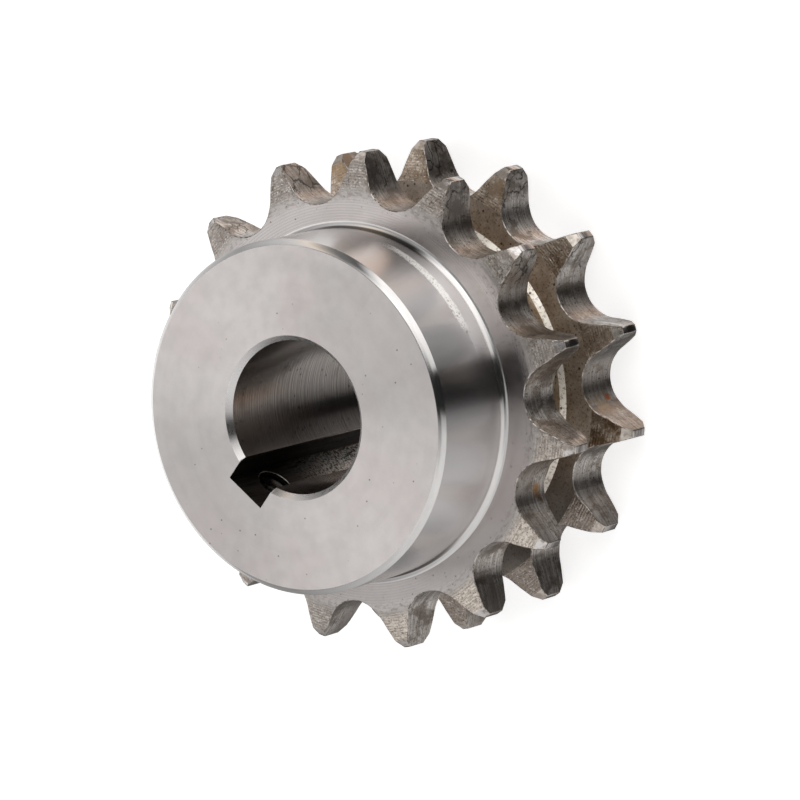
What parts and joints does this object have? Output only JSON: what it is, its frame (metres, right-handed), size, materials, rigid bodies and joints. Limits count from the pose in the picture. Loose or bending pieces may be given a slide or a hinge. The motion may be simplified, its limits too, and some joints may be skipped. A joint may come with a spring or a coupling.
{
  "type": "duplex chain sprocket",
  "caption": "Steel chain sprocket with two tooth rows, a plain hub on one side, a keyed bore and a tapped set-screw hole.",
  "frame": {"origin": "on the bore axis, midway between the two tooth rows, where the chain's centre line runs", "axes": "+Z along the bore axis towards the hub, +X from the axis through the keyway and the set-screw hole"},
  "size_m": [0.0648, 0.0652, 0.035],
  "materials": {
    "steel": "turned and hobbed, lightly oiled"
  },
  "bodies": {
    "root": {"sprocket": "steel"}
  },
  "joints": []
}
